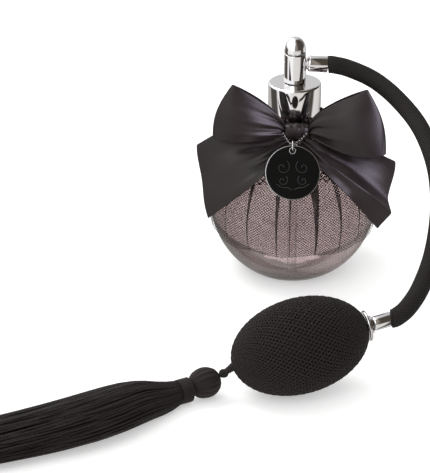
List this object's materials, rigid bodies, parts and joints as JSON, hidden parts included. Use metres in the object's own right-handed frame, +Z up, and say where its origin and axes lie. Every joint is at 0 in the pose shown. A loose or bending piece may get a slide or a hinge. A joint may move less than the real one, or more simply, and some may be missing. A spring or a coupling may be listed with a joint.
{
  "type": "perfume atomiser bottle",
  "caption": "Round glass perfume flask in a net skirt and satin bow, with a chrome spray head, braided hose, netted squeeze bulb and tassel.",
  "frame": {"origin": "centre of the flask's flat base, on the surface that it stands on", "axes": "+Z up along the flask and the spray head, -Y towards the bow, the tag and the squeeze bulb, +X towards the side where the hose leaves the head"},
  "size_m": [0.1912, 0.2115, 0.1026],
  "materials": {
    "clear_glass": "polished clear glass, thick base",
    "rose_perfume": "clear rose-mauve liquid",
    "black_tulle": "fine black net cloth",
    "black_thread": "matt black rayon thread",
    "black_satin": "black satin ribbon with a soft sheen",
    "clear_rubber": "translucent sealing rubber",
    "black_plastic": "moulded",
    "white_plastic": "moulded",
    "clear_plastic": "clear extruded tube",
    "chrome": "mirror bright plating",
    "black_braid": "braided cotton sleeve over a rubber hose",
    "black_rubber": "matt",
    "brass_valve": "turned",
    "steel_ball": "ground",
    "steel_chain": "bright bead chain",
    "black_enamel": "glossy black enamel on a metal disc with a bright edge"
  },
  "bodies": {
    "bottle": {"glass_bottle": "clear_glass", "perfume": "rose_perfume", "tulle_skirt": "black_tulle", "gather_thread": "black_thread", "neck_ribbon": "black_satin", "bow_knot": "black_satin", "bow_loop_left": "black_satin", "bow_loop_right": "black_satin", "bow_tail_left": "black_satin", "bow_tail_right": "black_satin", "tag_chain": "steel_chain"},
    "closure": {"neck_gasket": "clear_rubber", "closure_insert": "black_plastic", "collar": "chrome"},
    "head": {"stem": "white_plastic", "dip_tube": "clear_plastic", "head_barrel": "chrome", "dome_cap": "chrome", "spray_nozzle": "chrome", "air_spigot": "chrome", "head_ferrule": "chrome", "hose": "black_braid", "bulb_ferrule": "chrome", "bulb_cap": "chrome", "rubber_bulb": "black_rubber", "bulb_net": "black_thread", "outlet_valve": "brass_valve", "inlet_valve": "brass_valve"},
    "outlet_check": {"outlet_ball": "steel_ball"},
    "inlet_check": {"inlet_ball": "steel_ball"},
    "tassel": {"tassel_cord": "black_thread", "tassel_knot": "black_thread", "tassel_head": "black_thread", "tassel_wrap": "black_thread", "tassel_skirt": "black_thread"},
    "tag": {"jump_ring": "chrome", "tag": "black_enamel"}
  },
  "joints": [
    {"name": "closure_lift", "type": "slide", "parent": "bottle", "child": "closure", "axis": [0, 0, 1], "range_m": [0, 0.078]},
    {"name": "head_swivel", "type": "hinge", "parent": "closure", "child": "head", "pos_m": [0, 0, 0.083], "axis": [0, 0, 1], "range_deg": [-5, 120]},
    {"name": "outlet_ball_lift", "type": "slide", "parent": "head", "child": "outlet_check", "axis": [0.9525, 0.2375, 0.1908], "range_m": [0, 0.0011], "deforming": ["rubber_bulb", "bulb_net"]},
    {"name": "inlet_ball_lift", "type": "slide", "parent": "head", "child": "inlet_check", "axis": [0.9525, 0.2375, 0.1908], "range_m": [0, 0.0011]},
    {"name": "tassel_swing", "type": "hinge", "parent": "head", "child": "tassel", "pos_m": [-0.0274, -0.1173, 0.0134], "axis": [0, 0, 1], "range_deg": [-45, 45]},
    {"name": "tag_swing", "type": "hinge", "parent": "bottle", "child": "tag", "pos_m": [-0.0014, -0.02282, 0.06488], "axis": [1, 0, 0], "range_deg": [-75, 0]}
  ]
}
